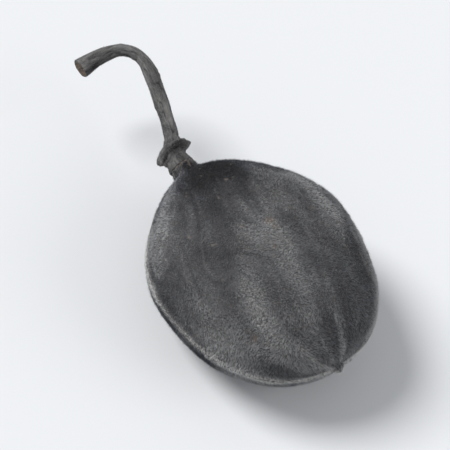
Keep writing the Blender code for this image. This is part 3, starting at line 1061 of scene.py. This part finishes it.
def stalk_profile(total):
    """(radius, distance) pairs of the foot, collar, stem and bark edge at the tip."""
    profile = []
    distance = COLLAR_PROFILE[0][1]
    while distance < COLLAR_PROFILE[-1][1] - 1e-6:
        profile.append((collar_radius(distance), distance))
        distance += COLLAR_FINE_STEP
    while distance < total - TIP_EDGE_SHARES[0] * TIP_EDGE:
        swell = math.exp(-(((total - distance) / TIP_LENGTH) ** 2))
        waver = sum(part * math.sin(distance / length) for part, length in STALK_WAVER)
        waist = WAIST_SHARE * math.exp(-(((distance - WAIST_PLACE) / WAIST_REACH) ** 2))
        radius = STALK_RADIUS * (1.0 + waver - waist) + (TIP_RADIUS - STALK_RADIUS) * swell
        profile.append((radius, distance))
        distance += STALK_STEP
    profile.append((TIP_RADIUS, total - TIP_EDGE_SHARES[1] * TIP_EDGE))
    profile.append((TIP_ROUNDING * TIP_RADIUS, total))
    return profile


def strewn_lenticels():
    """(turn, distance, size) of the small pale blisters of the bark."""
    draw = random.Random(LENTICEL_SEED)
    spots = []
    for _ in range(LENTICELS):
        turn = draw.uniform(-math.pi, math.pi)
        distance = draw.uniform(LENTICEL_ENDS[0], stalk_length - LENTICEL_ENDS[1])
        spots.append((turn, distance, draw.uniform(*LENTICEL_SIZES)))
    return spots


def bark_rise(stem):
    """Height of the bark above the straight stem, and its tone from 0, dark, to 1, pale."""
    turn = np.arctan2(stem[:, 2], stem[:, 0])
    folded = STALK_RADIUS * np.column_stack([np.cos(turn), np.zeros(len(turn)), np.sin(turn)])
    folded[:, 1] = BARK_STRETCH * stem[:, 1]
    folds = soft_noise(folded, *FOLD_NOISE)
    fissures = smooth_step(1.0 - np.abs(soft_noise(folded, *FISSURE_NOISE)), FISSURE_EDGE, 1.0)
    cracks = smooth_step(1.0 - np.abs(soft_noise(stem, *CRACK_NOISE)), CRACK_EDGE, 1.0)
    rise = RIDGE_HEIGHT * (FOLD_RISE * folds - FISSURE_SINK * fissures - CRACK_SINK * cracks)
    tone = BARK_TONE + FOLD_TONE * folds - FISSURE_TONE * fissures - CRACK_TONE * cracks
    tone += BEND_PALING * np.exp(-(((stem[:, 1] - WAIST_PLACE) / WAIST_REACH) ** 2))
    for spot_turn, spot_distance, size in strewn_lenticels():
        aside = np.remainder(turn - spot_turn + math.pi, 2.0 * math.pi) - math.pi
        aside *= STALK_RADIUS / size
        onward = (stem[:, 1] - spot_distance) / (LENTICEL_STRETCH * size)
        spot = np.exp(-(aside**2) - onward**2)
        rise += LENTICEL_HEIGHT * spot
        tone += LENTICEL_TONE * spot
    return rise, np.clip(tone, 0.0, 1.0)


points, distances = smooth_route()
stalk_length = distances[-1]
bm = bmesh.new()
upright = Matrix.Rotation(math.radians(-90.0), 4, "X")
profile = stalk_profile(stalk_length)
foot_radius, foot_distance = profile[0]
bmesh.ops.create_circle(bm, cap_ends=True, radius=foot_radius, segments=STALK_SIDES, matrix=upright)
bmesh.ops.translate(bm, vec=(0.0, foot_distance, 0.0), verts=bm.verts)
wood_layer = bm.verts.layers.float.new("wood")
straight_layer = bm.verts.layers.float_vector.new("straight")
ridge_layer = bm.verts.layers.float.new("ridge")
ring = list(bm.edges)
for radius, distance in profile[1:]:
    ring, verts = extrude_ring(bm, ring)
    lobes = math.exp(-(((distance - COLLAR_CENTRE) / SCAR_REACH) ** 2))
    for vert in verts:
        turn = math.atan2(vert.co.z, vert.co.x)
        scars = SCAR_LOBE * lobes * math.cos(SEPAL_SCARS * turn)
        torn = math.sin(SCAR_TEARS[0] * turn + 1.0) * math.sin(SCAR_TEARS[1] * turn)
        width = radius * (1.0 + scars + SCAR_RAGGEDNESS * lobes * torn)
        vert.co = (width * math.cos(turn), distance, width * math.sin(turn))
bark_verts = list(bm.verts)
rises, tones = bark_rise(np.array([vert.co[:] for vert in bark_verts]))
for vert, rise, tone in zip(bark_verts, rises, tones):
    turn = math.atan2(vert.co.z, vert.co.x)
    vert.co += float(rise) * Vector((math.cos(turn), 0.0, math.sin(turn)))
    foot = math.exp(-max(0.0, vert.co.y) / FOOT_WAVE)
    wave = sum(part * math.sin(count * turn + phase) for part, count, phase in FOOT_WAVES)
    vert.co.y += foot * FOOT_WAVE * wave
    vert[ridge_layer] = float(tone)

# The broken end: a rim of bark round torn fibres, sunk in the middle. Each wave of the fibres is
# its count round the end and its twist towards the middle.
BREAK_RINGS = 12
BREAK_DEPTH = 0.22 * MM
BREAK_LEVEL = 0.55
BREAK_RAGGEDNESS = 0.22
BREAK_WIDTH = 0.95
BREAK_WAVES = ((9.0, 9.0), (5.0, -14.0), (3.0, 0.0))
BREAK_SEED = 8
draw = random.Random(BREAK_SEED)
fibres = [(count, twist, draw.uniform(0.0, 2.0 * math.pi)) for count, twist in BREAK_WAVES]
for step in range(1, BREAK_RINGS + 1):
    ring, verts = extrude_ring(bm, ring)
    share = 1.0 - step / (BREAK_RINGS + 1.0)
    for vert in verts:
        turn = math.atan2(vert.co.z, vert.co.x)
        torn = sum(math.sin(count * turn + phase + twist * share) for count, twist, phase in fibres)
        sunk = BREAK_DEPTH * (1.0 - share) ** 0.5 * (BREAK_LEVEL + BREAK_RAGGEDNESS * torn)
        width = TIP_RADIUS * BREAK_WIDTH * share
        vert.co = (width * math.cos(turn), stalk_length - sunk, width * math.sin(turn))
        vert[wood_layer] = 1.0
bmesh.ops.holes_fill(bm, edges=ring, sides=0)


# The straight stem takes its slant at the collar and is laid along its route.
stalk_foot = Vector((pod_centre.x, pod_high.y + CLEARANCE, pod_centre.z))
for vert in bm.verts:
    vert[straight_layer] = vert.co
    slant = COLLAR_SLANT * math.exp(-(((vert.co.y - COLLAR_CENTRE) / COLLAR_REACH) ** 4))
    centre, heading = place_along(points, distances, vert.co.y + slant * vert.co.x)
    across = heading.cross(Vector((0.0, 0.0, 1.0))).normalized()
    upward = across.cross(heading)
    vert.co = stalk_foot + centre + across * vert.co.x + upward * vert.co.z
bm.normal_update()
bmesh.ops.recalc_face_normals(bm, faces=bm.faces)
stalk_mesh = finished_mesh("stalk_bark", bm)
stalk_mesh.shade_smooth()
stalk_bark = placed("stalk_bark", stalk_mesh)
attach(stalk_bark, "root")
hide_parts("stalk")

BARK_DARK = (0.027, 0.0262, 0.0262, 1.0)
BARK_LIGHT = (0.165, 0.160, 0.155, 1.0)
WOOD_COLOUR = (0.115, 0.082, 0.056, 1.0)
BARK_PATCH_SCALE = 1500.0
BARK_GRAIN_SCALE = 6500.0
BARK_GRAIN_STRETCH = 0.22
BARK_GLOSS = 0.35
BARK_ROUGHNESS = 0.72
BARK_FURROWS = (0.30, 1.45)
BARK_BUMP_STRENGTH = 0.8
bark_finish, tree, shader = new_finish("wrinkled_bark", BARK_ROUGHNESS, BARK_GLOSS)
stretch = tree.nodes.new("ShaderNodeMapping")
stretch.inputs["Scale"].default_value = (1.0, BARK_GRAIN_STRETCH, 1.0)
tree.links.new(carried(tree, "straight", "Vector"), stretch.inputs["Vector"])
mottle = mottled(
    tree,
    stretch.outputs["Vector"],
    BARK_PATCH_SCALE,
    BARK_GRAIN_SCALE,
    BARK_DARK,
    BARK_LIGHT,
)
# The bark's colour is darker in its sunk fissures and cracks and lighter on its raised folds.
furrow = ranged(tree, carried(tree, "ridge", "Fac"), *BARK_FURROWS)
relief_toned_bark = shaded(tree, mottle.outputs["Colour"], furrow)
wood = carried(tree, "wood", "Fac")
tree.links.new(laid_bare(tree, relief_toned_bark, WOOD_COLOUR, wood), shader.inputs["Base Color"])
tree.links.new(grained(tree, mottle, BARK_BUMP_STRENGTH), shader.inputs["Normal"])
stalk_mesh.materials.append(bark_finish)


# Down of the stalk. The same hairs as on the pod, but shorter, finer and sparser, grow from the
# bark between the neck and the broken end, and lie along it towards the end.
DOWN_DOUBLINGS = 12
DOWN_LENGTH = 0.12 * MM
DOWN_RADIUS = 0.009 * MM
DOWN_LEAN = math.radians(58.0)
DOWN_LENGTH_SPREAD = (0.5, 1.2)
DOWN_DISORDER = 0.5
DOWN_TONE = 0.42
DOWN_TONE_SCATTER = 0.15
DOWN_SPARE_ROOTS = 1.3
DOWN_SEED = 91
JOINT_BARE = 0.1 * MM
BREAK_BARE = 0.05 * MM
BREAK_REACH = 1.2 * TIP_RADIUS
HEADING_STATIONS = 40


def stalk_heading(place):
    """The heading of the stalk where its middle line comes nearest to a place."""
    stations = [knot * stalk_length / HEADING_STATIONS for knot in range(HEADING_STATIONS + 1)]
    middles = [place_along(points, distances, station) for station in stations]
    return min(middles, key=lambda middle: (stalk_foot + middle[0] - place).length)[1]


down_count = HAIR_START * 2**DOWN_DOUBLINGS
draw = np.random.default_rng(DOWN_SEED)
roots, normals = strew(stalk_mesh, int(DOWN_SPARE_ROOTS * down_count), draw)
in_joint = roots[:, 1] < stalk_foot.y + JOINT_BARE
tip_place, tip_heading = place_along(points, distances, stalk_length)
from_tip = roots - np.array(stalk_foot + tip_place)
on_break = from_tip @ np.array(tip_heading) > -BREAK_BARE
on_break &= np.linalg.norm(from_tip, axis=1) < BREAK_REACH
kept = np.flatnonzero(~in_joint & ~on_break)[:down_count]
roots, normals = roots[kept], normals[kept]
nearest = np.array([stalk_heading(Vector(root)) for root in roots])
flat = nearest - normals * (nearest * normals).sum(1)[:, None]
flat += DOWN_DISORDER * draw.normal(0.0, 1.0, flat.shape)
ways = normals * math.cos(DOWN_LEAN) + flat * math.sin(DOWN_LEAN)
ways /= np.linalg.norm(ways, axis=1)[:, None]
lengths = DOWN_LENGTH * draw.uniform(*DOWN_LENGTH_SPREAD, down_count)
tones = np.clip(draw.normal(DOWN_TONE, DOWN_TONE_SCATTER, down_count), 0.0, 1.0)
radii = np.full(down_count, DOWN_RADIUS)
down_mesh = spike_mesh("stalk_down", HAIR_START, DOWN_DOUBLINGS)
plant_hairs(down_mesh, roots - normals * ROOT_DEPTH, ways, lengths, radii, tones)
down_mesh.materials.append(nap_finish("down_of_stalk", root_shade=0.5, tip_shade=1.2))
stalk_down = placed("stalk_down", down_mesh)
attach(stalk_down, "root")
